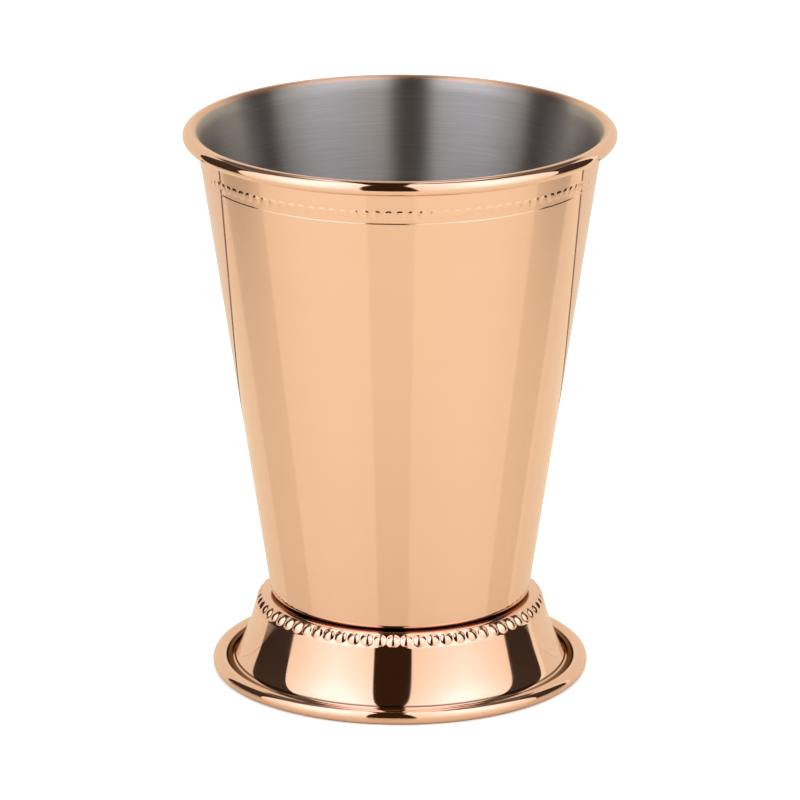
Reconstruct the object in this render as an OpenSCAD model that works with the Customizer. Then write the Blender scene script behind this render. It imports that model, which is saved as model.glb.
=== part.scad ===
// Footed julep cup. The tumbler is one drawn sheet with a rolled rim and a beaded band.
// It stands on a pressed foot with a beaded shoulder and a rolled hem, and a ring of
// braze under its floor joins the two. All sizes are in millimetres, +Z is up, and the
// origin is the centre of the circle on which the foot rests.

/* [Cup] */
// Height from the table to the top of the rim
cup_h = 117.4; // [105:0.1:135]
// Diameter across the rolled rim
rim_d = 90; // [84:0.5:98]
// Diameter of the tumbler where its outer cone meets the level of its floor
base_d = 54.3; // [48:0.1:58]
// Thickness of the tumbler's sheet
wall = 0.7; // [0.5:0.05:0.9]
// Outside radius of the corner between the wall and the floor
corner_r = 1.4; // [1.1:0.1:4]

/* [Rolled rim] */
// Outside radius of the hollow roll along the rim
roll_r = 1.55; // [1.3:0.05:2.2]
// How far the lip is pushed out from the wall's line before it rolls
lip_flare = 0.42; // [0.3:0.02:0.6]
// Bend radius of that flare, on the drinking side
lip_bend_r = 6; // [4:0.5:10]
// Gap left between the end of a roll and the sheet that it turns back to
roll_gap = 0.15; // [0.1:0.05:0.3]

/* [Beaded band of the tumbler] */
// Distance from the rim's top down to the middle of the beads
band_drop = 7.7; // [6:0.1:30]
// Number of beads round the tumbler
band_count = 112; // [60:1:112]
// Diameter of one bead
band_bead_d = 1.9; // [1.6:0.1:2.1]
// How far a bead stands out of the wall
band_bead_rise = 0.11; // [0.08:0.01:0.3]
// Distance from the beads' middle down to the scored line under them
score_drop = 1.85; // [1.4:0.05:3]
// Width of the scored line
score_w = 0.3; // [0.2:0.02:0.5]
// Depth of the scored line
score_depth = 0.1; // [0.06:0.01:0.2]

/* [Foot] */
// Height of the flat on which the tumbler stands
foot_h = 16.5; // [14:0.1:22]
// How far the shoulder reaches out past the tumbler's cone
shoulder_ledge = 3.16; // [3:0.02:5]
// Outside radius of the shoulder's bend
shoulder_r = 2.5; // [2:0.1:3.2]
// Diameter across the rolled hem
hem_d = 79.1; // [74:0.1:90]
// Outside radius of the hollow roll along the hem
hem_r = 1.6; // [1.5:0.02:2]
// Width of the flat worn on the hem's underside, which rests on the table
land_w = 1; // [0.6:0.1:1.6]
// How far the valley beside the hem lies below the hem's top
valley_drop = 1.2; // [0.8:0.02:1.3]
// Radius of that valley
valley_r = 0.5; // [0.4:0.1:1]
// Lean of the skirt from upright where it leaves the shoulder, in degrees
skirt_lean = 14; // [8:0.5:18]
// Diameter of the hole through the foot under the tumbler's floor
flange_hole_d = 38; // [30:1:42]
// Thickness of the foot's sheet
foot_wall = 0.7; // [0.5:0.05:0.9]

/* [Beaded shoulder of the foot] */
// Number of beads round the shoulder
shoulder_count = 66; // [40:1:68]
// Diameter of one bead
shoulder_bead_d = 2.7; // [2.2:0.1:2.7]
// How far a bead stands out of the flat that runs under the beads
shoulder_bead_rise = 0.47; // [0.3:0.01:0.7]
// Turn round the shoulder's bend, up from level, at which that flat starts, in degrees
flat_from = 68; // [62:1:74]
// How far the flat runs down the skirt past the shoulder's bend
flat_past = 0.8; // [0.6:0.05:1.1]

/* [Braze] */
// Leg of the braze ring, along the floor's underside
braze_leg = 1.4; // [0.8:0.1:2]

/* [Hidden] */
$fn = 96;

copper = [0.89, 0.66, 0.50];
filler = [0.80, 0.62, 0.44];

// Turn between two neighbouring points of an arc in an outline, in degrees
arc_step = 10;
// Number of points along the skirt's curve
skirt_steps = 14;
// Least drop from the end of the flat under the beads to the next of those points
skirt_clear = 0.15;
// Depth to which a bead is rooted in its sheet, as a share of the sheet
bead_root_share = 0.72;
// Pull of the skirt's curve below the shoulder, as a share of the skirt's height
waist_pull_share = 0.2;
// Pull of the skirt's curve before the valley, as a share of the skirt's reach
toe_pull_share = 0.42;

// The roll's centre line, and the lean of the wall, which is the line from the base's
// edge that passes roll_off inside the roll's centre
base_r = base_d / 2;
roll_c = [rim_d / 2 - roll_r, cup_h - roll_r];
roll_off = roll_r + lip_flare - wall;
base_pt = [base_r, foot_h];
wall_lean = atan2(roll_c.x - base_pt.x, roll_c.y - base_pt.y)
    - asin(roll_off / norm(roll_c - base_pt));
up = [sin(wall_lean), cos(wall_lean)];
out = [cos(wall_lean), -sin(wall_lean)];
// Distance along the wall from the base's edge to the roll, and to the flare's start
roll_s = (roll_c - base_pt) * up;
flare_lift = sqrt(pow(lip_bend_r - roll_r, 2) - pow(lip_bend_r - roll_off - wall, 2));
flare_s = roll_s - flare_lift;
flare_turn = atan2(flare_lift, lip_bend_r - roll_off - wall);
// Turn at which the roll's outside comes within roll_gap of the wall again
roll_turn = 360 - acos((roll_off - roll_gap) / roll_r);
// Corner between the wall and the floor
corner_s = corner_r * (1 - sin(wall_lean)) / cos(wall_lean);
corner_c = on_wall(corner_s, -corner_r);
// Places along the wall of the beads and of the scored line
band_s = (cup_h - band_drop - foot_h) / cos(wall_lean);
score_s = band_s - score_drop;

// The foot's shoulder, hem and valley
neck_r = base_r + shoulder_ledge;
shoulder_c = [neck_r - shoulder_r, foot_h - shoulder_r];
land_sag = hem_r - sqrt(hem_r * hem_r - land_w * land_w / 4);
hem_c = [hem_d / 2 - hem_r, hem_r - land_sag];
valley_z = hem_c.y + hem_r - valley_drop;
valley_c = [
    hem_c.x - sqrt(pow(valley_r + hem_r, 2) - pow(valley_z + valley_r - hem_c.y, 2)),
    valley_z + valley_r
];
valley_turn = atan2(hem_c.x - valley_c.x, valley_c.y - hem_c.y);
// Turn of the hem's roll, which ends under the valley
hem_end = 180 + asin((valley_z - foot_wall - roll_gap - hem_c.y) / hem_r);
land_turn = acos(hem_c.y / hem_r);
// The skirt's curve runs from the shoulder's end to the valley's lowest point
skirt_top = arc_pt(shoulder_c, shoulder_r, skirt_lean);
skirt_toe = [valley_c.x, valley_z];
waist_pull = waist_pull_share * (skirt_top.y - skirt_toe.y);
toe_pull = toe_pull_share * (skirt_toe.x - skirt_top.x);
skirt = [
    skirt_top,
    skirt_top + waist_pull * [sin(skirt_lean), -cos(skirt_lean)],
    skirt_toe - [toe_pull, 0],
    skirt_toe
];
flange_r = flange_hole_d / 2;
// The flat under the beads, from the shoulder's bend to the skirt, and its tilt up from
// level
flat_high = arc_pt(shoulder_c, shoulder_r, flat_from);
flat_low = skirt_top + flat_past * [sin(skirt_lean), -cos(skirt_lean)];
flat_tilt = atan2(flat_low.x - flat_high.x, flat_high.y - flat_low.y);
flat_off = (flat_high - shoulder_c) * [cos(flat_tilt), sin(flat_tilt)];
// The same flat on the sheet's other face: the turn at which it starts, and its end
flat_in_turn = flat_tilt + acos((flat_off - foot_wall) / (shoulder_r - foot_wall));
flat_in_low = arc_pt(flat_low, -foot_wall / cos((flat_tilt - skirt_lean) / 2),
    (flat_tilt + skirt_lean) / 2);

// A point at turn a on a circle, counted from +X towards +Y
function arc_pt(centre, r, a) = centre + r * [cos(a), sin(a)];

// Points along an arc, both ends included
function arc(centre, r, from, to) =
    let (n = max(1, ceil(abs(to - from) / arc_step)))
    [for (i = [0:n]) arc_pt(centre, r, from + (to - from) * i / n)];

// A point at distance s up the wall's outer face and d out of it
function on_wall(s, d) = base_pt + s * up + d * out;

// Points along an arc in the wall's own directions, with the turn counted from
// straight in, over the top
function lip_arc(centre, r, from, to) =
    arc(centre, r, 180 - wall_lean - from, 180 - wall_lean - to);

// A point on the skirt's curve, set in from it by depth
function skirt_pt(t, depth) =
    let (
        p = pow(1 - t, 3) * skirt[0] + 3 * pow(1 - t, 2) * t * skirt[1]
            + 3 * (1 - t) * t * t * skirt[2] + pow(t, 3) * skirt[3],
        d = pow(1 - t, 2) * (skirt[1] - skirt[0]) + 2 * (1 - t) * t * (skirt[2] - skirt[1])
            + t * t * (skirt[3] - skirt[2])
    )
    p + depth * [d.y, -d.x] / norm(d);

// Points along the skirt that lie below a height
function skirt_line(depth, top) =
    [for (i = [1:skirt_steps - 1])
        let (p = skirt_pt(i / skirt_steps, depth)) if (p.y < top - skirt_clear) p];

function reversed(points) = [for (i = [len(points) - 1:-1:0]) points[i]];

// Outside of the tumbler from the middle of its floor to the end of the roll
function tumbler_outside() = concat(
    [[0, foot_h]],
    arc(corner_c, corner_r, -90, -wall_lean),
    [on_wall(score_s - score_w / 2, 0), on_wall(score_s, -score_depth),
     on_wall(score_s + score_w / 2, 0)],
    lip_arc(on_wall(flare_s, lip_bend_r - wall), lip_bend_r - wall, 0, flare_turn),
    lip_arc(roll_c, roll_r - wall, flare_turn + arc_step, roll_turn)
);

// Inside of the tumbler, from the middle of its floor to the same end
function tumbler_inside() = concat(
    [[0, foot_h + wall]],
    arc(corner_c, corner_r - wall, -90, -wall_lean),
    lip_arc(on_wall(flare_s, lip_bend_r - wall), lip_bend_r, 0, flare_turn),
    lip_arc(roll_c, roll_r, flare_turn + arc_step, roll_turn)
);

// Face of the foot that shows, from the flange's hole to the end of the hem's roll
function foot_outside() = concat(
    [[flange_r, foot_h]],
    arc(shoulder_c, shoulder_r, 90, flat_from),
    [flat_low],
    skirt_line(0, flat_low.y),
    arc(valley_c, valley_r, -90, -90 + valley_turn),
    arc(hem_c, hem_r, 90 + valley_turn - arc_step, -90 + land_turn),
    arc(hem_c, hem_r, -90 - land_turn, -hem_end)
);

// The other face of the same sheet
function foot_inside() = concat(
    [[flange_r, foot_h - foot_wall]],
    arc(shoulder_c, shoulder_r - foot_wall, 90, flat_in_turn),
    [flat_in_low],
    skirt_line(foot_wall, flat_in_low.y),
    arc(valley_c, valley_r + foot_wall, -90, -90 + valley_turn),
    arc(hem_c, hem_r - foot_wall, 90 + valley_turn - arc_step, -hem_end)
);

// A bead: a shallow dome on a short stem that roots it in the sheet
module bead(d, rise, root) {
    ball_r = (d * d / 4 + rise * rise) / (2 * rise);
    intersection() {
        translate([0, 0, rise - ball_r]) sphere(r = ball_r);
        translate([0, 0, -root]) cylinder(d = d, h = root + rise);
    }
}

// A row of beads on the circle through point p, each tilted up from level
module bead_row(count, p, tilt, d, rise, root) {
    for (i = [0:count - 1])
        rotate([0, 0, 360 * i / count])
            translate([p.x, 0, p.y])
                rotate([0, 90 - tilt, 0])
                    bead(d, rise, root);
}

module tumbler() {
    color(copper) {
        rotate_extrude() polygon(concat(tumbler_outside(), reversed(tumbler_inside())));
        bead_row(band_count, on_wall(band_s, 0), -wall_lean,
            band_bead_d, band_bead_rise, bead_root_share * wall);
    }
}

module foot() {
    color(copper) {
        rotate_extrude() polygon(concat(foot_outside(), reversed(foot_inside())));
        bead_row(shoulder_count, (flat_high + flat_low) / 2, flat_tilt,
            shoulder_bead_d, shoulder_bead_rise, bead_root_share * foot_wall);
    }
}

// Braze in the angle between the floor's underside and the edge of the flange's hole,
// with a hollow face
module braze_ring() {
    centre = [flange_r - braze_leg, foot_h - foot_wall];
    color(filler)
        rotate_extrude()
            polygon(concat(
                [[flange_r, foot_h]],
                [for (a = [90:-arc_step:0])
                    [centre.x + braze_leg * cos(a), centre.y + foot_wall * sin(a)]]
            ));
}

tumbler();
foot();
braze_ring();
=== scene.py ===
from math import acos, asin, atan2, ceil, cos, degrees, pi, radians, sin, sqrt

import bpy
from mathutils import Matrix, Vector, noise


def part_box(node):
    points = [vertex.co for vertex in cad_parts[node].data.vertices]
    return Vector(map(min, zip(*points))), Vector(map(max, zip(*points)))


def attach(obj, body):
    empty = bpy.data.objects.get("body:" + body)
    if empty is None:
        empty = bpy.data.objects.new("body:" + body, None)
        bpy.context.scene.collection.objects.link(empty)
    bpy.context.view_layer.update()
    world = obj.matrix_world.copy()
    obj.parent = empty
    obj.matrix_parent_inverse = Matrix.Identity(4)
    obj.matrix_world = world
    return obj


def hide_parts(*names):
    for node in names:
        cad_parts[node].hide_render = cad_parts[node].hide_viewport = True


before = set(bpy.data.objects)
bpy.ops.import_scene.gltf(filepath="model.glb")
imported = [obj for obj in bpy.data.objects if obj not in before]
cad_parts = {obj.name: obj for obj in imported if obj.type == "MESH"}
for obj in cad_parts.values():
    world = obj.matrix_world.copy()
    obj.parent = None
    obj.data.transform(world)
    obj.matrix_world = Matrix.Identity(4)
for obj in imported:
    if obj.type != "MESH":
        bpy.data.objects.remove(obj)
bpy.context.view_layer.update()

# Sizes in millimetres. What the frame can tell is taken from it, and the rest repeats
# the cup's own drawing.
MM = 0.001
_, tumbler_high = (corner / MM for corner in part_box("tumbler"))
_, foot_high = (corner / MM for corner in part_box("foot"))
braze_low, braze_high = (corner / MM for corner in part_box("braze_ring"))

CUP_H = tumbler_high.z
RIM_R = tumbler_high.x
FOOT_H = foot_high.z
HEM_OUT_R = foot_high.x
FLANGE_R = braze_high.x
SHEET = FOOT_H - braze_low.z

BASE_R = 27.15
CORNER_R = 1.4
ROLL_R = 1.55
LIP_FLARE = 0.42
LIP_BEND_R = 6.0
ROLL_GAP = 0.15
BAND_DROP = 7.7
BAND_BEADS = 112
# A bead's half width, half height and rise, here and on the shoulder
BAND_BEAD = (0.95, 0.95, 0.07)
SCORE_DROP = 1.85
SCORE_W = 0.3
SCORE_DEPTH = 0.1
SHOULDER_LEDGE = 3.16
SHOULDER_R = 2.5
HEM_R = 1.6
LAND_W = 1.0
VALLEY_DROP = 1.2
VALLEY_R = 0.5
SKIRT_LEAN = 14.0
WAIST_PULL_SHARE = 0.2
TOE_PULL_SHARE = 0.42
TOE_LINE_SHARE = 0.845
SHOULDER_BEADS = 66
FLAT_FROM = 68.0
FLAT_PAST = 0.8
SHOULDER_BEAD = (1.35, 1.38, 0.47)
BRAZE_LEG = 1.4
BRAZE_SWELL, BRAZE_LUMPS = 0.06, 6

# Columns round the cup, plain ones for smooth stretches and fine ones for the beads
BAND_PLAIN, BAND_FINE = BAND_BEADS * 2, BAND_BEADS * 12
FOOT_PLAIN, FOOT_FINE = SHOULDER_BEADS * 4, SHOULDER_BEADS * 16
# Turn between neighbouring rows of a bend, in degrees: as a rule, on bright bends, on
# the shoulder, on the lip's flare and on faces that hardly show
ARC_STEP = 9.0
BRIGHT_STEP = 6.0
SHOULDER_STEP = 4.0
FLARE_STEP = 2.0
HIDDEN_STEP = 15.0
# Rows along the plain wall, half the scored line, a row of beads, and both faces of the
# skirt
WALL_SPANS = 6
SCORE_SPANS = 4
BAND_ROWS = 18
SHOULDER_ROWS = 30
SKIRT_SPANS, SKIRT_BACK_SPANS = 60, 16
# Rings on the floor's two faces, as shares of its flat radius, and on the foot's flange
UNDER_SHARES = (0.4, 0.8)
FLOOR_SHARES = (0.8, 0.5, 0.2, 0)
FLANGE_RINGS = (23.0, 26.0, 26.4, 26.8, 27.2, 27.6)
# Height of the narrow rows that keep the shading of a long plain stretch true
GUARD = 0.08


# Outlines: lists of points (r, z) along one face of a sheet

def arc_pt(centre, r, a):
    return Vector(centre) + Vector((r * cos(radians(a)), r * sin(radians(a))))


def arc(centre, r, start, end, step=ARC_STEP):
    n = max(1, ceil(abs(end - start) / step))
    return [arc_pt(centre, r, start + (end - start) * i / n) for i in range(n + 1)]


def steps(start, end, n):
    """Points between two points, both ends left out."""
    return [start.lerp(end, i / n) for i in range(1, n)]


# The tumbler's wall: a line up from the edge of the base that passes inside the roll
roll_c = Vector((RIM_R - ROLL_R, CUP_H - ROLL_R))
roll_off = ROLL_R + LIP_FLARE - SHEET
base_pt = Vector((BASE_R, FOOT_H))
to_roll = roll_c - base_pt
LEAN = atan2(to_roll.x, to_roll.y) - asin(roll_off / to_roll.length)
UP = Vector((sin(LEAN), cos(LEAN)))
OUT = Vector((cos(LEAN), -sin(LEAN)))
LEAN_DEG = degrees(LEAN)
bend_off = LIP_BEND_R - roll_off - SHEET
flare_lift = sqrt((LIP_BEND_R - ROLL_R) ** 2 - bend_off ** 2)
flare_s = to_roll.dot(UP) - flare_lift
flare_turn = degrees(atan2(flare_lift, bend_off))
roll_turn = 360 - degrees(acos((roll_off - ROLL_GAP) / ROLL_R))


def on_wall(s, d):
    return base_pt + s * UP + d * OUT


def lip_arc(centre, r, start, end, step=ARC_STEP):
    return arc(centre, r, 180 - LEAN_DEG - start, 180 - LEAN_DEG - end, step)


corner_c = on_wall(CORNER_R * (1 - sin(LEAN)) / cos(LEAN), -CORNER_R)
band_s = (CUP_H - BAND_DROP - FOOT_H) / cos(LEAN)
score_s = band_s - SCORE_DROP


# The foot's shoulder, hem, valley and skirt

neck_r = BASE_R + SHOULDER_LEDGE
shoulder_c = Vector((neck_r - SHOULDER_R, FOOT_H - SHOULDER_R))
land_sag = HEM_R - sqrt(HEM_R ** 2 - LAND_W ** 2 / 4)
hem_c = Vector((HEM_OUT_R - HEM_R, HEM_R - land_sag))
valley_z = hem_c.y + HEM_R - VALLEY_DROP
valley_c = Vector((
    hem_c.x - sqrt((VALLEY_R + HEM_R) ** 2 - (valley_z + VALLEY_R - hem_c.y) ** 2),
    valley_z + VALLEY_R))
valley_turn = degrees(atan2(hem_c.x - valley_c.x, valley_c.y - hem_c.y))
hem_end = 180 + degrees(asin((valley_z - SHEET - ROLL_GAP - hem_c.y) / HEM_R))
land_turn = degrees(acos(hem_c.y / HEM_R))
skirt_top = arc_pt(shoulder_c, SHOULDER_R, SKIRT_LEAN)
skirt_toe = Vector((valley_c.x, valley_z))
skirt_pulls = (
    skirt_top,
    skirt_top + WAIST_PULL_SHARE * (skirt_top.y - skirt_toe.y)
    * Vector((sin(radians(SKIRT_LEAN)), -cos(radians(SKIRT_LEAN)))),
    skirt_toe - Vector((TOE_PULL_SHARE * (skirt_toe.x - skirt_top.x), 0)),
    skirt_toe,
)

# The flat on which the shoulder's beads stand, from a turn round the shoulder to a little
# way down the skirt, and the same flat on the sheet's other face
flat_high = arc_pt(shoulder_c, SHOULDER_R, FLAT_FROM)
flat_low = skirt_top + FLAT_PAST * Vector((sin(radians(SKIRT_LEAN)), -cos(radians(SKIRT_LEAN))))
flat_tilt = degrees(atan2(flat_low.x - flat_high.x, flat_high.y - flat_low.y))
flat_out = Vector((cos(radians(flat_tilt)), sin(radians(flat_tilt))))
flat_in_turn = flat_tilt + degrees(
    acos(((flat_high - shoulder_c).dot(flat_out) - SHEET) / (SHOULDER_R - SHEET)))
flat_in_low = arc_pt(flat_low, -SHEET / cos(radians(flat_tilt - SKIRT_LEAN) / 2),
                     (flat_tilt + SKIRT_LEAN) / 2)


def skirt_pt(t, depth=0):
    """A point at share t of the skirt's curve, set in from it by depth."""
    a, b, c, d = skirt_pulls
    s = 1 - t
    way = s * s * (b - a) + 2 * s * t * (c - b) + t * t * (d - c)
    inward = Vector((way.y, -way.x)).normalized()
    return (s ** 3 * a + 3 * s * s * t * b + 3 * s * t * t * c + t ** 3 * d
            + depth * inward)


def skirt_line(depth, n, top):
    """The skirt's points below a height."""
    line = [skirt_pt(i / n, depth) for i in range(1, n)]
    return [p for p in line if p.y < top - GUARD]


# Painted shade in the deep corners, where the tumbler meets the foot, in the hem's
# valley and under the roll, and a painted dark reflection along the skirt's toe line:
# each is a place, the distances within which the copper is darkened and beyond which
# it is clean, and how dark it gets
PAINTED_SHADE_PLACES = (
    (Vector((BASE_R - 0.45, FOOT_H + 0.6)), 0.3, 0.8, 0.72),
    (Vector((hem_c.x - HEM_R - 0.25, valley_z)), 0.7, 1.0, 0.8),
    (skirt_pt(TOE_LINE_SHARE), 0.08, 0.30, 0.9),
    (on_wall(to_roll.dot(UP) - ROLL_R * 0.6, 0), 0.3, 0.8, 0.9),
)


def painted_shade(p):
    """How much painted shade darkens the copper at a point of an outline."""
    most = 0.0
    for place, near, far, full in PAINTED_SHADE_PLACES:
        t = min(max((far - (p - place).length) / (far - near), 0.0), 1.0)
        most = max(most, full * t * t * (3 - 2 * t))
    return most


# Lathe: rows of points turned round the axis, with more columns where there are beads

class Lathe:
    """A sheet turned row by row. A row can have a relief, a function of the turn that
    pushes it out along its normal, and says how plated it is and how much painted
    shade darkens it."""

    def __init__(self, name):
        self.name = name
        self.verts, self.faces, self.face_mats = [], [], []
        self.plating, self.painted_shade = [], []
        self.rings = []

    def ring(self, point, columns, relief=None, normal=None, plating=1.0, painted_shade=0.0):
        """Adds a ring of points, or one point where the outline meets the axis."""
        first = len(self.verts)
        if point.x < 1e-6:
            columns = 1
        for i in range(columns):
            turn = 2 * pi * i / columns
            r, z = point
            if relief:
                rise = relief(turn)
                r, z = r + rise * normal.x, z + rise * normal.y
            self.verts.append((r * cos(turn) * MM, r * sin(turn) * MM, z * MM))
        self.plating += [plating] * columns
        self.painted_shade += [painted_shade] * columns
        self.rings.append(list(range(first, first + columns)))

    def skin(self, a, b, material):
        """Faces between two rings. A finer ring has a whole number of columns for each
        column of a plainer one."""
        if len(a) == 1 or len(b) == 1:
            tip, loop = (a, b) if len(a) == 1 else (b, a)
            n = len(loop)
            for i in range(n):
                tri = (tip[0], loop[(i + 1) % n], loop[i])
                self.add(tri if len(a) == 1 else tri[::-1], material)
        elif len(a) == len(b):
            n = len(a)
            for i in range(n):
                self.add((a[i], a[(i + 1) % n], b[(i + 1) % n], b[i]), material)
        else:
            fine, plain = (b, a) if len(b) > len(a) else (a, b)
            k, n = len(fine) // len(plain), len(plain)
            for i in range(n):
                here, after = plain[i], plain[(i + 1) % n]
                edge = [fine[(i * k + j) % len(fine)] for j in range(k + 1)]
                fans = [(here, edge[j + 1], edge[j]) for j in range(k // 2)]
                fans.append((here, after, edge[k // 2]))
                fans += [(after, edge[j + 1], edge[j]) for j in range(k // 2, k)]
                for tri in fans:
                    self.add(tri if fine is b else tri[::-1], material)

    def add(self, face, material):
        self.faces.append(face)
        self.face_mats.append(material)

    def make(self, materials, body="root"):
        mesh = bpy.data.meshes.new(self.name)
        mesh.from_pydata(self.verts, [], self.faces)
        mesh.update()
        for label, values in (("plating", self.plating), ("painted_shade", self.painted_shade)):
            mesh.attributes.new(label, "FLOAT", "POINT").data.foreach_set("value", values)
        for material in materials:
            mesh.materials.append(material)
        mesh.polygons.foreach_set("material_index", self.face_mats)
        mesh.polygons.foreach_set("use_smooth", [True] * len(mesh.polygons))
        mesh.validate()
        obj = bpy.data.objects.new(self.name, mesh)
        bpy.context.scene.collection.objects.link(obj)
        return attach(obj, body)


def band_bead(u, v):
    """Height of the upper band at (u, v) from a bead's middle: a low disc, steepest at
    its edge."""
    half_u, half_v, rise = BAND_BEAD
    q = (u / half_u) ** 2 + (v / half_v) ** 2
    return rise * (1 - q * q) if q < 1 else 0.0


def shoulder_bead(u, v):
    """Height of the shoulder's flat at (u, v) from a bead's middle: a dome."""
    half_u, half_v, rise = SHOULDER_BEAD
    return rise * max(1 - (u / half_u) ** 2 - (v / half_v) ** 2, 0.0)


def bead_relief(count, r, v, height):
    """The beads' relief round a ring of radius r, at distance v from their middle."""
    pitch = 2 * pi / count

    def relief(turn):
        return height(((turn + pitch / 2) % pitch - pitch / 2) * r, v)
    return relief


# Finishes

def new_material(name):
    material = bpy.data.materials.new(name)
    material.use_nodes = True
    return material, material.node_tree.nodes, material.node_tree.links


def shader_group(name, inputs, outputs):
    """An empty node group with number inputs, given with their defaults, and outputs."""
    group = bpy.data.node_groups.new(name, "ShaderNodeTree")
    for label, value in inputs:
        socket = group.interface.new_socket(label, in_out="INPUT", socket_type="NodeSocketFloat")
        socket.default_value = value
    for label in outputs:
        group.interface.new_socket(label, in_out="OUTPUT", socket_type="NodeSocketFloat")
    nodes = group.nodes
    return group, nodes, group.links, nodes.new("NodeGroupInput"), nodes.new("NodeGroupOutput")


def maths(nodes, links, operation, a, b=None, clamp=False):
    """A maths node on two sockets or numbers, and its output."""
    node = nodes.new("ShaderNodeMath")
    node.operation = operation
    node.use_clamp = clamp
    for socket, value in zip(node.inputs, (a, b)):
        if value is None:
            continue
        if isinstance(value, (int, float)):
            socket.default_value = value
        else:
            links.new(value, socket)
    return node.outputs[0]


def ramp(nodes, links, value, low, high, out_low=0.0, out_high=1.0):
    """Maps a value smoothly from low..high to out_low..out_high."""
    node = nodes.new("ShaderNodeMapRange")
    node.interpolation_type = "SMOOTHSTEP"
    for label, number in (("From Min", low), ("From Max", high),
                          ("To Min", out_low), ("To Max", out_high)):
        node.inputs[label].default_value = number
    links.new(value, node.inputs["Value"])
    return node.outputs["Result"]


def turned_lines_group():
    """Fine lines that a spinning sheet takes from the tool: they run round the axis, on
    walls and floors alike, and each is some millimetres long."""
    group, nodes, links, given, made = shader_group(
        "turned_lines", [("Lines per mm", 4.0), ("Reach mm", 12.0)], ["Height", "Broad"])
    place = nodes.new("ShaderNodeTexCoord").outputs["Object"]
    split = nodes.new("ShaderNodeSeparateXYZ")
    links.new(place, split.inputs[0])
    x, y, z = split.outputs
    r2 = maths(nodes, links, "ADD", maths(nodes, links, "MULTIPLY", x, x),
               maths(nodes, links, "MULTIPLY", y, y))
    r = maths(nodes, links, "MAXIMUM", maths(nodes, links, "SQRT", r2), 1e-5)
    along = maths(nodes, links, "DIVIDE", 30.0, given.outputs["Reach mm"])
    across = maths(nodes, links, "MULTIPLY", given.outputs["Lines per mm"], 1000.0)
    profile = maths(nodes, links, "MULTIPLY", maths(nodes, links, "ADD", z, r), across)
    joined = nodes.new("ShaderNodeCombineXYZ")
    for i, side in enumerate((x, y)):
        unit = maths(nodes, links, "DIVIDE", side, r)
        links.new(maths(nodes, links, "MULTIPLY", unit, along), joined.inputs[i])
    links.new(profile, joined.inputs[2])
    for label, size, detail in (("Height", 1.0, 3.0), ("Broad", 0.07, 2.0)):
        grain = nodes.new("ShaderNodeTexNoise")
        grain.inputs["Scale"].default_value = size
        grain.inputs["Detail"].default_value = detail
        links.new(joined.outputs[0], grain.inputs["Vector"])
        links.new(grain.outputs["Fac"], made.inputs[label])
    return group


def smudges_group():
    """Soft marks of handling on bright metal."""
    group, nodes, links, given, made = shader_group(
        "smudges", [("Size mm", 14.0)], ["Smudge"])
    cloud = nodes.new("ShaderNodeTexNoise")
    cloud.inputs["Detail"].default_value = 4.0
    links.new(nodes.new("ShaderNodeTexCoord").outputs["Object"], cloud.inputs["Vector"])
    links.new(maths(nodes, links, "DIVIDE", 1000.0, given.outputs["Size mm"]),
              cloud.inputs["Scale"])
    links.new(ramp(nodes, links, cloud.outputs["Fac"], 0.42, 0.72), made.inputs["Smudge"])
    return group


def placed(nodes, group, **values):
    node = nodes.new("ShaderNodeGroup")
    node.node_tree = group
    for label, value in values.items():
        node.inputs[label.replace("_", " ")].default_value = value
    return node


def mixed_colour(nodes, links, factor, a, b):
    """Mixes two colours, each a socket or a value."""
    node = nodes.new("ShaderNodeMix")
    node.data_type = "RGBA"
    links.new(factor, node.inputs["Factor"])
    for socket, value in ((node.inputs[6], a), (node.inputs[7], b)):
        if isinstance(value, tuple):
            socket.default_value = value
        else:
            links.new(value, socket)
    return node.outputs[2]


def bumped(nodes, links, height, strength, distance):
    bump = nodes.new("ShaderNodeBump")
    bump.inputs["Strength"].default_value = strength
    bump.inputs["Distance"].default_value = distance
    links.new(height, bump.inputs["Height"])
    return bump.outputs["Normal"]


COPPER = (0.93, 0.64, 0.50, 1)
COPPER_DEEP = (0.90, 0.60, 0.45, 1)
# Painted shade: the copper's colour, and the tint of its reflections, in the deep corners and
# along the skirt's toe line
PAINTED_SHADE_COLOUR = (0.10, 0.047, 0.015, 1)
PAINTED_SHADE_TINT = (0.15, 0.08, 0.04, 1)
STEEL = (0.56, 0.55, 0.55, 1)
STEEL_DEEP = (0.47, 0.46, 0.46, 1)


def polished_copper(lines, smudges):
    material, nodes, links = new_material("polished_copper")
    shader = nodes["Principled BSDF"]
    shader.inputs["Metallic"].default_value = 1.0
    turned = placed(nodes, lines, Lines_per_mm=1.5, Reach_mm=40.0)
    smudge = placed(nodes, smudges, Size_mm=16.0).outputs["Smudge"]
    tone = ramp(nodes, links, turned.outputs["Broad"], 0.35, 0.75, 0.0, 0.25)
    bright = mixed_colour(nodes, links, tone, COPPER, COPPER_DEEP)
    # Painted shade darkens the copper, and the tint of its reflections, where the rings carry it
    painted_shade = nodes.new("ShaderNodeAttribute")
    painted_shade.attribute_name = "painted_shade"
    links.new(mixed_colour(nodes, links, painted_shade.outputs["Fac"], bright, PAINTED_SHADE_COLOUR),
              shader.inputs["Base Color"])
    links.new(mixed_colour(nodes, links, painted_shade.outputs["Fac"], (1, 1, 1, 1), PAINTED_SHADE_TINT),
              shader.inputs["Specular Tint"])
    links.new(ramp(nodes, links, smudge, 0.0, 1.0, 0.045, 0.085), shader.inputs["Roughness"])
    links.new(bumped(nodes, links, turned.outputs["Height"], 0.02, 0.0001),
              shader.inputs["Normal"])
    return material


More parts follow.
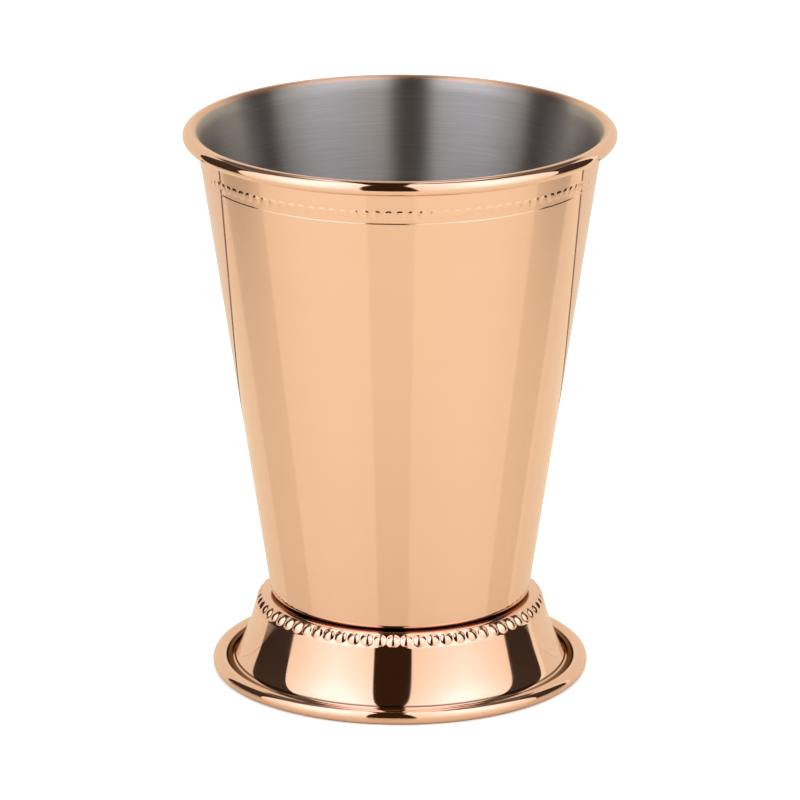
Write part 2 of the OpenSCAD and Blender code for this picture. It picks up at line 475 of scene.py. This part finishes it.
def brushed_steel(lines, smudges):
    """The inside: brushed round the axis, with the plating fading out below the rim."""
    material, nodes, links = new_material("brushed_steel")
    shader = nodes["Principled BSDF"]
    shader.inputs["Metallic"].default_value = 1.0
    shader.inputs["Anisotropic"].default_value = 1.0
    shader.inputs["Anisotropic Rotation"].default_value = 0.25
    tangent = nodes.new("ShaderNodeTangent")
    tangent.direction_type = "RADIAL"
    tangent.axis = "Z"
    links.new(tangent.outputs[0], shader.inputs["Tangent"])
    brushing = placed(nodes, lines, Lines_per_mm=6.0, Reach_mm=9.0)
    smudge = placed(nodes, smudges, Size_mm=20.0).outputs["Smudge"]
    plating = nodes.new("ShaderNodeAttribute")
    plating.attribute_name = "plating"
    tone = ramp(nodes, links, brushing.outputs["Height"], 0.3, 0.7)
    steel = mixed_colour(nodes, links, tone, STEEL, STEEL_DEEP)
    links.new(mixed_colour(nodes, links, plating.outputs["Fac"], steel, COPPER),
              shader.inputs["Base Color"])
    links.new(ramp(nodes, links, smudge, 0.0, 1.0, 0.36, 0.40), shader.inputs["Roughness"])
    links.new(bumped(nodes, links, brushing.outputs["Height"], 0.10, 0.0001),
              shader.inputs["Normal"])
    return material


def braze_metal(smudges):
    material, nodes, links = new_material("braze_metal")
    shader = nodes["Principled BSDF"]
    shader.inputs["Metallic"].default_value = 1.0
    smudge = placed(nodes, smudges, Size_mm=3.0).outputs["Smudge"]
    links.new(mixed_colour(nodes, links, smudge, COPPER_DEEP, (0.55, 0.33, 0.20, 1)),
              shader.inputs["Base Color"])
    links.new(ramp(nodes, links, smudge, 0.0, 1.0, 0.25, 0.45), shader.inputs["Roughness"])
    links.new(bumped(nodes, links, smudge, 0.3, 0.0002), shader.inputs["Normal"])
    return material


lines_group = turned_lines_group()
smudges = smudges_group()
copper = polished_copper(lines_group, smudges)
steel = brushed_steel(lines_group, smudges)
braze = braze_metal(smudges)


# The tumbler, from the middle of the floor's underside, up the outside, over the roll
# and down the inside

PLATED_DEPTH = (0.35, 1.0)


def fade(z):
    """How much plating is left inside the cup at height z."""
    t = (CUP_H - z - PLATED_DEPTH[0]) / (PLATED_DEPTH[1] - PLATED_DEPTH[0])
    t = min(max(t, 0.0), 1.0)
    return 1 - t * t * (3 - 2 * t)


def make_tumbler():
    lathe = Lathe("tumbler_shell")
    rows = [(Vector((0, FOOT_H)), None)]
    rows += [(Vector((corner_c.x * share, FOOT_H)), None) for share in UNDER_SHARES]
    rows += [(p, None) for p in arc(corner_c, CORNER_R, -90, -LEAN_DEG, BRIGHT_STEP)]
    foot_of_score = on_wall(score_s - SCORE_W / 2 - GUARD, 0)
    rows.append((rows[-1][0] + GUARD * UP, None))
    rows += [(p, None) for p in steps(rows[-1][0], foot_of_score, WALL_SPANS)]
    rows.append((foot_of_score, None))
    for i in range(2 * SCORE_SPANS + 1):
        t = i / SCORE_SPANS - 1
        rows.append((on_wall(score_s + t * SCORE_W / 2, -SCORE_DEPTH * (1 + cos(pi * t)) / 2),
                     None))
    half = BAND_BEAD[1]
    rows.append((on_wall(score_s + SCORE_W / 2 + GUARD, 0), None))
    rows.append((on_wall(band_s - half - GUARD, 0), None))
    for i in range(BAND_ROWS + 1):
        v = half * sin(pi * (i / BAND_ROWS - 0.5))
        p = on_wall(band_s + v, 0)
        rows.append((p, bead_relief(BAND_BEADS, p.x, v, band_bead)))
    rows.append((on_wall(band_s + half + GUARD, 0), None))
    flare_c = on_wall(flare_s, LIP_BEND_R - SHEET)
    outside_flare = lip_arc(flare_c, LIP_BEND_R - SHEET, 0, flare_turn)
    rows.append((outside_flare[0] - GUARD * UP, None))
    rows += [(p, None) for p in outside_flare]
    rows += [(p, None) for p in
             lip_arc(roll_c, ROLL_R - SHEET, flare_turn + ARC_STEP, roll_turn, HIDDEN_STEP)]
    roll = lip_arc(roll_c, ROLL_R, roll_turn, flare_turn + ARC_STEP / 2, BRIGHT_STEP)
    crest = next(i for i, p in enumerate(roll) if p.x < roll_c.x and p.y > roll_c.y)
    rows += [(p, None) for p in roll]
    copper_rows = len(rows) - len(roll) + crest + 1
    inside_flare = lip_arc(flare_c, LIP_BEND_R, flare_turn, 0, FLARE_STEP)
    inside_flare.append(inside_flare[-1] - GUARD * UP)
    inside_corner = arc(corner_c, CORNER_R - SHEET, -LEAN_DEG, -90)
    inside_wall = steps(inside_flare[-1], inside_corner[0], WALL_SPANS)
    rows += [(p, None) for p in inside_flare + inside_wall + inside_corner]
    floor_z = FOOT_H + SHEET
    rows += [(Vector((corner_c.x * share, floor_z)), None) for share in FLOOR_SHARES]
    for i, (p, relief) in enumerate(rows):
        columns = BAND_FINE if relief else BAND_PLAIN
        plating = fade(p.y) if i > copper_rows else 1.0
        # Painted shade in the outside's deep corners, none on the steel inside
        shaded = painted_shade(p) if i <= copper_rows else 0.0
        lathe.ring(p, columns, relief, OUT, plating, shaded)
        if i:
            lathe.skin(lathe.rings[-2], lathe.rings[-1], 0 if i <= copper_rows else 1)
    return lathe.make([copper, steel])


# The foot, along the face that shows and back along the other

def make_foot():
    lathe = Lathe("foot_shell")
    rows = [(Vector((FLANGE_R, FOOT_H)), None, None)]
    rows += [(Vector((r, FOOT_H)), None, None) for r in FLANGE_RINGS]
    rows += [(p, None, None) for p in
             arc(shoulder_c, SHOULDER_R, 90, FLAT_FROM + SHOULDER_STEP / 2, SHOULDER_STEP)]
    for i in range(SHOULDER_ROWS + 1):
        p = flat_high.lerp(flat_low, i / SHOULDER_ROWS)
        v = (0.5 - i / SHOULDER_ROWS) * (flat_high - flat_low).length
        rows.append((p, bead_relief(SHOULDER_BEADS, p.x, v, shoulder_bead), flat_out))
    rows += [(p, None, None) for p in skirt_line(0, SKIRT_SPANS, flat_low.y)]
    rows += [(p, None, None) for p in
             arc(valley_c, VALLEY_R, -90, -90 + valley_turn, BRIGHT_STEP)]
    rows += [(p, None, None) for p in
             arc(hem_c, HEM_R, 90 + valley_turn - BRIGHT_STEP, -90 + land_turn, BRIGHT_STEP)]
    rows += [(p, None, None) for p in arc(hem_c, HEM_R, -90 - land_turn, -hem_end)]
    rows += [(p, None, None) for p in
             arc(hem_c, HEM_R - SHEET, -hem_end, 90 + valley_turn - ARC_STEP, HIDDEN_STEP)]
    rows += [(p, None, None) for p in
             arc(valley_c, VALLEY_R + SHEET, -90 + valley_turn, -90)]
    rows += [(p, None, None) for p in
             reversed(skirt_line(SHEET, SKIRT_BACK_SPANS, flat_in_low.y))]
    rows.append((flat_in_low, None, None))
    rows += [(p, None, None) for p in arc(shoulder_c, SHOULDER_R - SHEET, flat_in_turn, 90)]
    rows.append((Vector((FLANGE_R, FOOT_H - SHEET)), None, None))
    for p, relief, way in rows:
        columns = FOOT_FINE if relief else FOOT_PLAIN
        # Each ring carries its share of painted shade
        lathe.ring(p, columns, relief, way, painted_shade=painted_shade(p))
        if len(lathe.rings) > 1:
            lathe.skin(lathe.rings[-1], lathe.rings[-2], 0)
    lathe.skin(lathe.rings[0], lathe.rings[-1], 0)
    return lathe.make([copper])


def make_braze():
    """The filler under the floor: a hollow-faced ring, a little uneven, as it flowed."""
    lathe = Lathe("braze_fillet")
    centre = Vector((FLANGE_R - BRAZE_LEG, FOOT_H - SHEET))

    def flow(turn):
        swell = noise.noise(Vector((cos(turn), sin(turn), 0)) * BRAZE_LUMPS)
        return -BRAZE_SWELL * (1 + swell)
    lathe.ring(Vector((FLANGE_R, FOOT_H)), FOOT_PLAIN)
    for a in range(90, -1, -15):
        p = centre + Vector((BRAZE_LEG * cos(radians(a)), SHEET * sin(radians(a))))
        way = Vector((cos(radians(a)), sin(radians(a))))
        lathe.ring(p, FOOT_PLAIN, flow if 0 < a < 90 else None, -way)
        lathe.skin(lathe.rings[-2], lathe.rings[-1], 0)
    lathe.skin(lathe.rings[-1], lathe.rings[0], 0)
    return lathe.make([braze])


tumbler = make_tumbler()
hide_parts("tumbler")
foot = make_foot()
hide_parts("foot")
filler = make_braze()
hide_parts("braze_ring")


# The studio: a glossy white table under a plain white sky, and round it a ring of lit
# white cards with a roof, which only reflections see. A slot for the camera runs up the
# ring and over the roof, and a dark card stands to each side. Above and behind the dark
# cards the light is dim. Lengths are in metres, and turns in degrees from the front.

TABLE_BACK_Y = 0.178
TABLE_TURN_DEG = 2.0
TABLE_FRONT_Y = -1.6
TABLE_HALF_X = 1.5
EDGE_GAP, EDGE_LIFT = 0.011, 0.0002
RING_R = 0.318
RING_LOW, RING_HIGH = -0.30, 0.60
SLOT_DEG = (-18.5, 9.5)
SLOT_LEAN_DEG = (-3.0, -7.0)
SLOT_SOFT_DEG = 0.6
# Each half of the ring is brightest in its middle, more so on the left, and higher up
MIDDLE_DEG, MIDDLE_SOFT_DEG = (30.0, 66.0), 26.0
FRONT_DEG, MIDDLE_LOW = (-10.0, 10.0), (0.42, 0.26)
HIGH_Z, MIDDLE_RISE, RISE = (0.0, 0.22), 0.75, 0.22
DIM_DEG, DIM_Z = (82.0, 86.0), (0.31, 0.36)
DIM_BACK_DEG, DIM_SHARES = (140.0, 165.0), (0.9, 0.45)
ROOF_SIDES_X, ROOF_BRIGHT = (-0.1, 0.1), (1.0, 0.75)
ROOF_BACK_Y = (0.16, 0.24)
ROOF_DIM_X, ROOF_DIM_Y, ROOF_DIM = (0.13, 0.24), (-0.05, 0.0), (0.0, 0.85)
ROOF_SLOT_X, ROOF_SLOT_SOFT = (-0.112, 0.026), 0.006
ROOF_SLOT_END_Y = (0.22, 0.24)
ROOF_STRIP_Y, ROOF_STRIP_SOFT = (-0.08, 0.10), 0.02
ROOF_STRIP_X, ROOF_STRIP_SHARES = (-0.15, 0.12), (0.4, 0.85)
CARD_R = 0.310
CARD_H = 0.330
CARD_STEP_DEG = 3
LEFT_CARD_DEG = (-120.0, -86.5)
RIGHT_CARD_DEG = (84.5, 113.0)
BACK_DEG = 118.0
SKY_STRENGTH = 1.45
# Painted warm light: the table's tint in reflections stands for the copper's light bounced onto
# it
TABLE_BOUNCE_TINT = (0.735, 0.645, 0.49, 1)
SLOT_LIGHT = (0.034, 0.017, 0.007, 1)
BACK_LIGHT = (0.85, 0.74, 0.585, 1)
SOFT_LIGHT = (1.02, 0.91, 0.74, 1)
BRIGHT_LIGHT = (1.55, 1.52, 1.6, 1)


def white_table():
    """Glossy and tinted warm in reflections, a painted warm light that stands for the
    copper's light bounced onto the white table, and plain white with soft shadows for
    the camera."""
    material, nodes, links = new_material("white_table")
    glossy = nodes["Principled BSDF"]
    glossy.inputs["Base Color"].default_value = TABLE_BOUNCE_TINT
    glossy.inputs["Roughness"].default_value = 0.05
    paint = nodes.new("ShaderNodeBsdfDiffuse")
    paint.inputs["Color"].default_value = (0.90, 0.90, 0.90, 1)
    lift = nodes.new("ShaderNodeEmission")
    lift.inputs["Strength"].default_value = 0.3
    lifted = nodes.new("ShaderNodeAddShader")
    links.new(paint.outputs[0], lifted.inputs[0])
    links.new(lift.outputs[0], lifted.inputs[1])
    seen = nodes.new("ShaderNodeMixShader")
    links.new(nodes.new("ShaderNodeLightPath").outputs["Is Camera Ray"], seen.inputs[0])
    links.new(glossy.outputs[0], seen.inputs[1])
    links.new(lifted.outputs[0], seen.inputs[2])
    links.new(seen.outputs[0], nodes["Material Output"].inputs["Surface"])
    return material


def dark_paint(name, colour):
    material, nodes, links = new_material(name)
    nodes["Principled BSDF"].inputs["Base Color"].default_value = colour
    nodes["Principled BSDF"].inputs["Roughness"].default_value = 0.9
    return material


def lit_material(name):
    """An emission whose colour is still to be linked."""
    material, nodes, links = new_material(name)
    nodes.remove(nodes["Principled BSDF"])
    light = nodes.new("ShaderNodeEmission")
    links.new(light.outputs[0], nodes["Material Output"].inputs["Surface"])
    split = nodes.new("ShaderNodeSeparateXYZ")
    links.new(nodes.new("ShaderNodeTexCoord").outputs["Object"], split.inputs[0])
    return material, nodes, links, light.inputs["Color"], split.outputs


def between(nodes, links, value, low, high, soft):
    """A mask that is 1 from low to high, with soft edges. Each end is a number."""
    up = ramp(nodes, links, value, low - soft, low + soft)
    down = ramp(nodes, links, value, high - soft, high + soft, 1.0, 0.0)
    return maths(nodes, links, "MULTIPLY", up, down)


def ring_light():
    material, nodes, links, colour, (x, y, z) = lit_material("ring_light")
    turn = maths(nodes, links, "ARCTAN2", x, maths(nodes, links, "MULTIPLY", y, -1.0))
    turn = maths(nodes, links, "DEGREES", turn)
    away = maths(nodes, links, "ABSOLUTE", turn)
    middle = between(nodes, links, away, *MIDDLE_DEG, MIDDLE_SOFT_DEG)
    high = ramp(nodes, links, z, *HIGH_Z)
    low = ramp(nodes, links, turn, *FRONT_DEG, *MIDDLE_LOW)
    bright = maths(nodes, links, "MULTIPLY", middle,
                   maths(nodes, links, "ADD", low,
                         maths(nodes, links, "MULTIPLY", high, MIDDLE_RISE)))
    bright = maths(nodes, links, "ADD", bright, maths(nodes, links, "MULTIPLY", high, RISE))
    cards = mixed_colour(nodes, links, bright, SOFT_LIGHT, BRIGHT_LIGHT)
    behind = ramp(nodes, links, away, BACK_DEG - 1, BACK_DEG + 1)
    cards = mixed_colour(nodes, links, behind, cards, BACK_LIGHT)
    # From the dark cards on back, the ring dims high up
    dim = ramp(nodes, links, away, *DIM_DEG)
    dim = maths(nodes, links, "MULTIPLY", dim, ramp(nodes, links, z, *DIM_Z))
    dim = maths(nodes, links, "MULTIPLY", dim,
                ramp(nodes, links, away, *DIM_BACK_DEG, *DIM_SHARES))
    cards = mixed_colour(nodes, links, dim, cards, SLOT_LIGHT)
    # The slot's edges lean in towards the top
    sides = []
    for edge, lean, way in zip(SLOT_DEG, SLOT_LEAN_DEG, (1, -1)):
        shift = maths(nodes, links, "MULTIPLY", z, -lean / RING_HIGH)
        place = maths(nodes, links, "ADD", turn, shift)
        sides.append(ramp(nodes, links, place, edge - SLOT_SOFT_DEG, edge + SLOT_SOFT_DEG,
                          (1 - way) / 2, (1 + way) / 2))
    slot = maths(nodes, links, "MULTIPLY", *sides)
    links.new(mixed_colour(nodes, links, slot, cards, SLOT_LIGHT), colour)
    return material


def roof_light():
    material, nodes, links, colour, (x, y, z) = lit_material("roof_light")
    side = ramp(nodes, links, x, *ROOF_SIDES_X, *ROOF_BRIGHT)
    cards = mixed_colour(nodes, links, side, SOFT_LIGHT, BRIGHT_LIGHT)
    behind = ramp(nodes, links, y, *ROOF_BACK_Y)
    cards = mixed_colour(nodes, links, behind, cards, BACK_LIGHT)
    # It is dim to both sides, from about the middle on back
    dim = ramp(nodes, links, maths(nodes, links, "ABSOLUTE", x), *ROOF_DIM_X, *ROOF_DIM)
    dim = maths(nodes, links, "MULTIPLY", dim, ramp(nodes, links, y, *ROOF_DIM_Y))
    cards = mixed_colour(nodes, links, dim, cards, SLOT_LIGHT)
    # A dark strip, deeper on the right, crosses it where two cards meet
    strip = between(nodes, links, y, *ROOF_STRIP_Y, ROOF_STRIP_SOFT)
    strip = maths(nodes, links, "MULTIPLY", strip,
                  ramp(nodes, links, x, *ROOF_STRIP_X, *ROOF_STRIP_SHARES))
    slot = between(nodes, links, x, *ROOF_SLOT_X, ROOF_SLOT_SOFT)
    ahead = ramp(nodes, links, y, *ROOF_SLOT_END_Y, 1.0, 0.0)
    slot = maths(nodes, links, "MULTIPLY", slot, ahead)
    slot = maths(nodes, links, "MAXIMUM", slot, strip)
    links.new(mixed_colour(nodes, links, slot, cards, SLOT_LIGHT), colour)
    return material


def stage_piece(name, verts, faces, material):
    mesh = bpy.data.meshes.new(name)
    mesh.from_pydata(verts, [], faces)
    mesh.materials.append(material)
    obj = bpy.data.objects.new(name, mesh)
    bpy.context.scene.collection.objects.link(obj)
    return obj


def only_reflected(obj, in_light):
    """Keeps a piece of the studio out of the camera's sight, and of the light if asked."""
    obj.visible_camera = False
    obj.visible_diffuse = in_light
    obj.visible_shadow = in_light


def upright_card(name, r, degs, z0, z1, material):
    """A card that stands on a curve round the cup, from one turn to another."""
    n = max(1, round(abs(degs[1] - degs[0]) / CARD_STEP_DEG))
    verts, faces = [], []
    for i in range(n + 1):
        turn = radians(degs[0] + (degs[1] - degs[0]) * i / n)
        for z in (z0, z1):
            verts.append((r * sin(turn), -r * cos(turn), z))
    for i in range(n):
        faces.append((2 * i, 2 * i + 2, 2 * i + 3, 2 * i + 1))
    return stage_piece(name, verts, faces, material)


def flat_piece(name, x0, x1, y0, y1, z, turn_deg, material):
    """A flat piece, turned about the upright axis."""
    c, s = cos(radians(turn_deg)), sin(radians(turn_deg))
    corners = [(x0, y0), (x1, y0), (x1, y1), (x0, y1)]
    verts = [(c * x - s * y, s * x + c * y, z) for x, y in corners]
    return stage_piece(name, verts, [(0, 1, 2, 3)], material)


def build_studio():
    flat_piece("table", -TABLE_HALF_X, TABLE_HALF_X, TABLE_FRONT_Y, TABLE_BACK_Y, 0,
               TABLE_TURN_DEG, white_table())
    # A dark strip along the table's back edge, seen only in reflections: painted shade where the
    # table falls away
    edge = flat_piece("table_edge", -TABLE_HALF_X, TABLE_HALF_X, TABLE_BACK_Y - EDGE_GAP,
                      TABLE_BACK_Y, EDGE_LIFT, TABLE_TURN_DEG,
                      dark_paint("dark_edge", (0.17, 0.11, 0.08, 1)))
    only_reflected(edge, False)
    ring = upright_card("light_ring", RING_R, (-180, 180), RING_LOW, RING_HIGH, ring_light())
    only_reflected(ring, False)
    roof = flat_piece("light_roof", -RING_R, RING_R, -RING_R, RING_R, RING_HIGH, 0,
                      roof_light())
    only_reflected(roof, False)
    black = dark_paint("black_card", (0.030, 0.014, 0.007, 1))
    for name, degs in (("left_card", LEFT_CARD_DEG), ("right_card", RIGHT_CARD_DEG)):
        only_reflected(upright_card(name, CARD_R, degs, 0, CARD_H, black), True)
    world = bpy.data.worlds.new("studio")
    bpy.context.scene.world = world
    world.use_nodes = True
    sky = world.node_tree.nodes["Background"]
    sky.inputs["Color"].default_value = (1, 1, 1, 1)
    sky.inputs["Strength"].default_value = SKY_STRENGTH


build_studio()


# The camera, at the photograph's place

CAMERA_PLACE = (0, -1.300, 0.459116)
CAMERA_DIP_DEG = 17.138
CAMERA_LENS = 292.45

camera_data = bpy.data.cameras.new("camera")
camera_data.lens = CAMERA_LENS
camera_data.sensor_width = 36
camera = bpy.data.objects.new("camera", camera_data)
camera.location = CAMERA_PLACE
camera.rotation_euler = (radians(90 - CAMERA_DIP_DEG), 0, 0)
bpy.context.scene.collection.objects.link(camera)
bpy.context.scene.camera = camera
bpy.context.scene.view_settings.view_transform = "Standard"
